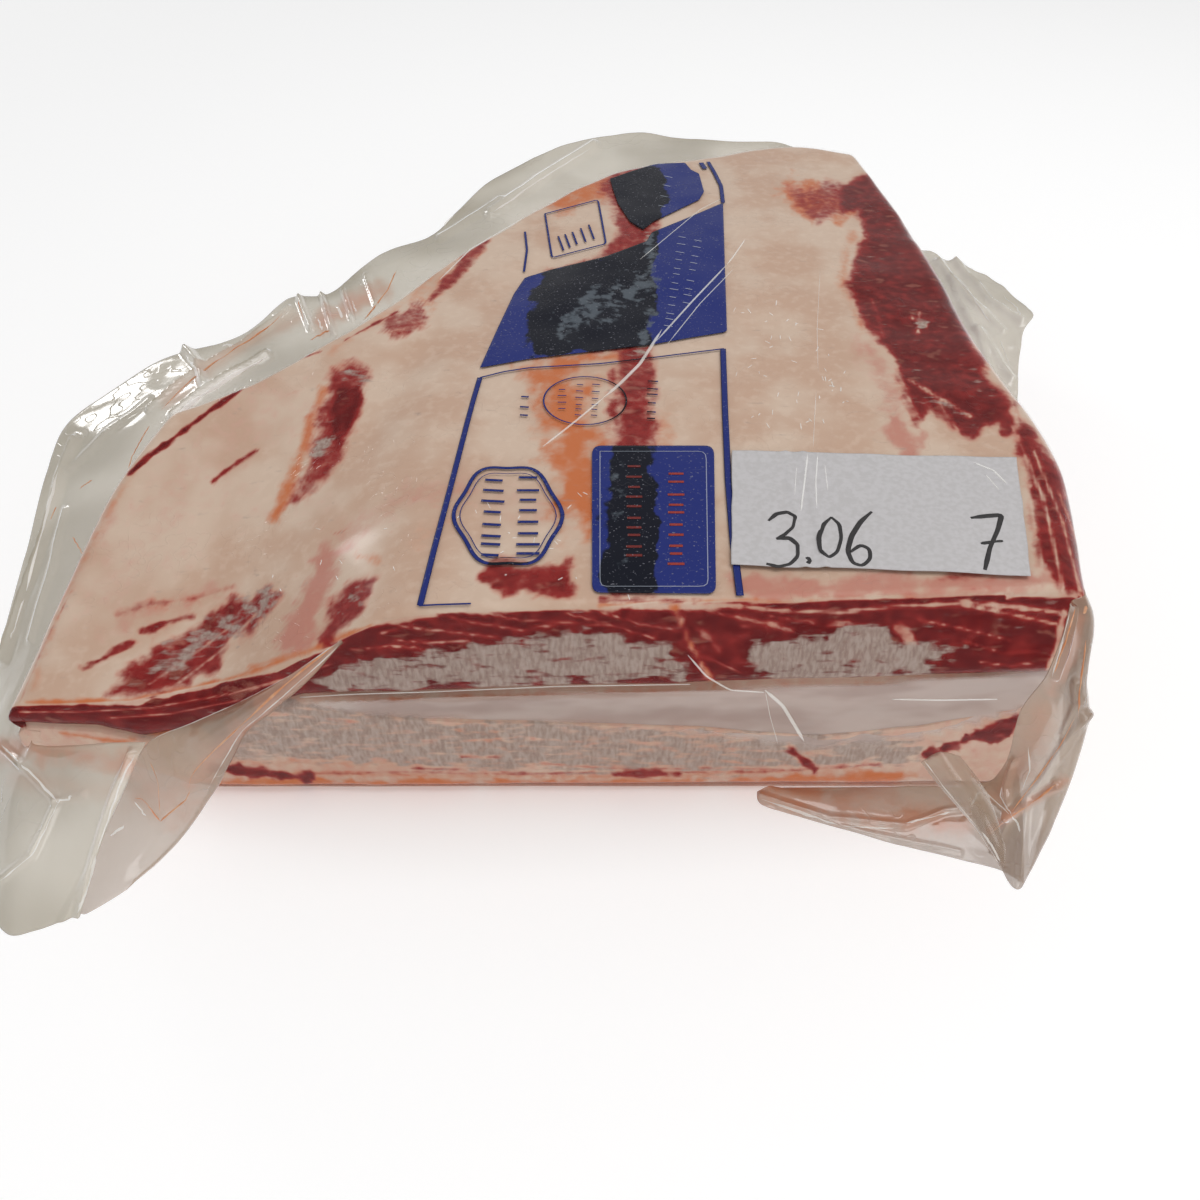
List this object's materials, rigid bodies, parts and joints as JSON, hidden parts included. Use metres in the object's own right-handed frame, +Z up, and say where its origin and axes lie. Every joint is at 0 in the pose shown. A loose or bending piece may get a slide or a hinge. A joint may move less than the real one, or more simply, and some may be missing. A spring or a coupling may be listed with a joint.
{
  "type": "vacuum-packed raw beef brisket",
  "caption": "Thick slab of raw beef brisket sealed in a tight clear bag, with loose film margins at its sides, fields of blue print and a paper label on top.",
  "frame": {"origin": "bottom centre of the whole pack's box, loose film included, on the surface that it lies on", "axes": "+Z up; X along the cut face, to the right as seen from the front; -Y out of the cut face"},
  "size_m": [0.3267, 0.3211, 0.0692],
  "materials": {
    "beef_in_film": "raw beef, cream fat and red lean, seen through tight wet film",
    "bag_film": "clear, glossy, creased shrink film",
    "print_ink": "blue ink under gloss film",
    "label_paper": "matte white paper",
    "pen_ink": "black marker"
  },
  "bodies": {
    "root": {"sealed_bag": "beef_in_film", "paper_label": "label_paper"}
  },
  "joints": []
}
